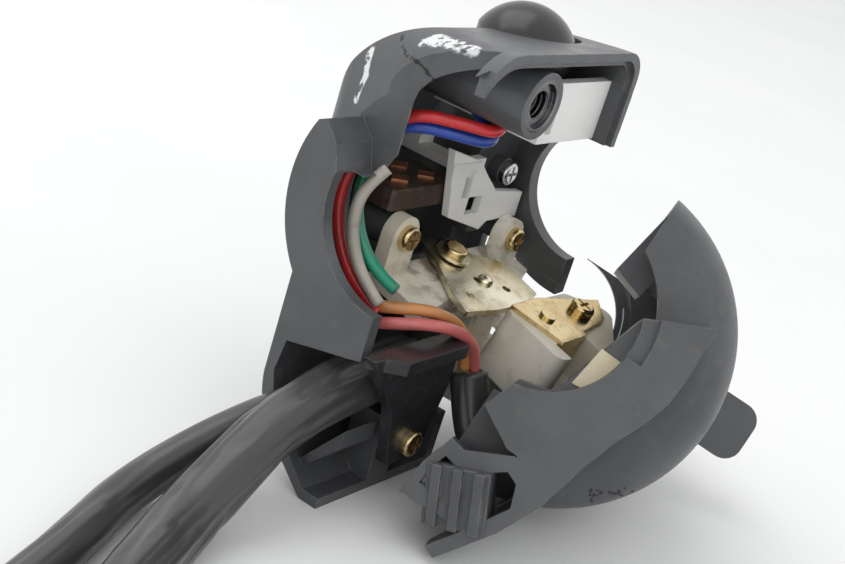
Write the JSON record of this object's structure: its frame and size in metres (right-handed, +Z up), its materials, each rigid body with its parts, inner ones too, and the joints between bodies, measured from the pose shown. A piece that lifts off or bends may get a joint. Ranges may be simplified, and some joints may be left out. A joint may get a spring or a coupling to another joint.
{
  "type": "motorcycle handlebar switch cluster",
  "caption": "Left handlebar switch cluster, taken off the bar and opened: horn, dimmer and turn-signal switches, choke lever, inner wires and two sleeved leads.",
  "frame": {"origin": "on the handlebar's axis, in the middle of the rear half's far wall", "axes": "+X along the bar towards the grip, +Y out of the rear half's open side, +Z up"},
  "size_m": [0.1771, 0.1276, 0.0722],
  "materials": {
    "black_plastic": "satin moulded, slightly grained",
    "white_nylon": "satin, aged and stained",
    "cream_plastic": "satin",
    "phenolic": "dull",
    "zinc_steel": "satin, lightly tarnished",
    "brass": "satin, tarnished",
    "copper": "satin",
    "sleeve_vinyl": "soft sheen",
    "tape": "dull",
    "red_wire": "gloss",
    "green_wire": "gloss",
    "grey_wire": "gloss",
    "blue_wire": "gloss",
    "orange_wire": "gloss",
    "pink_wire": "gloss"
  },
  "bodies": {
    "housing": {"rear_shell": "black_plastic", "screw_insert": "zinc_steel", "horn_base": "white_nylon", "horn_spring": "zinc_steel", "terminal_block": "phenolic", "copper_contacts": "copper", "switch_base": "white_nylon", "base_screws": "brass", "silver_screw": "zinc_steel", "pivot_rivet": "brass", "pivot_washer": "zinc_steel", "cable_clamp": "black_plastic", "clamp_screw": "brass", "harness_wrap": "tape", "front_shell": "black_plastic", "cream_spacer": "cream_plastic", "main_sleeve": "sleeve_vinyl", "side_sleeve": "sleeve_vinyl", "link_sleeve": "sleeve_vinyl", "main_connector": "white_nylon", "side_connector": "white_nylon", "red_wire": "red_wire", "green_wire": "green_wire", "grey_wire": "grey_wire", "crimson_wire": "red_wire", "amber_wire": "orange_wire", "blue_wire": "blue_wire", "orange_wire": "orange_wire", "pink_wire": "pink_wire"},
    "horn": {"horn_button": "black_plastic"},
    "dimmer": {"dimmer_slide": "white_nylon", "dimmer_knob": "black_plastic"},
    "turn_switch": {"turn_plate": "zinc_steel", "contact_carrier": "white_nylon", "contact_bridge": "brass", "carrier_screw": "brass", "bridge_rivets": "brass"},
    "turn_thumb": {"turn_knob": "black_plastic"},
    "choke": {"choke_lever": "black_plastic"}
  },
  "joints": [
    {"name": "horn_press", "type": "slide", "parent": "housing", "child": "horn", "axis": [0, 0, -1], "range_m": [0, 0.0022], "stiffness_N_per_m": 500, "springref_m": -0.002, "deforming": ["horn_spring"]},
    {"name": "dimmer_shift", "type": "slide", "parent": "housing", "child": "dimmer", "axis": [1, 0, 0], "range_m": [0, 0.003]},
    {"name": "turn_swing", "type": "hinge", "parent": "housing", "child": "turn_switch", "pos_m": [0.0196, -0.01058, -0.01333], "axis": [0, 0.2419, 0.9703], "range_deg": [-10, 10]},
    {"name": "turn_slide", "type": "slide", "parent": "housing", "child": "turn_thumb", "axis": [1, 0, 0], "range_m": [-0.0032, 0.0032]},
    {"name": "choke_turn", "type": "hinge", "parent": "housing", "child": "choke", "pos_m": [-0.01041, -0.00486, -0.02497], "axis": [0.8494, 0.3802, 0.3659], "range_deg": [0, 30]}
  ],
  "couplings": [
    {"joint": "turn_slide", "follows": "turn_swing", "m_per_rad": 0.0178}
  ]
}
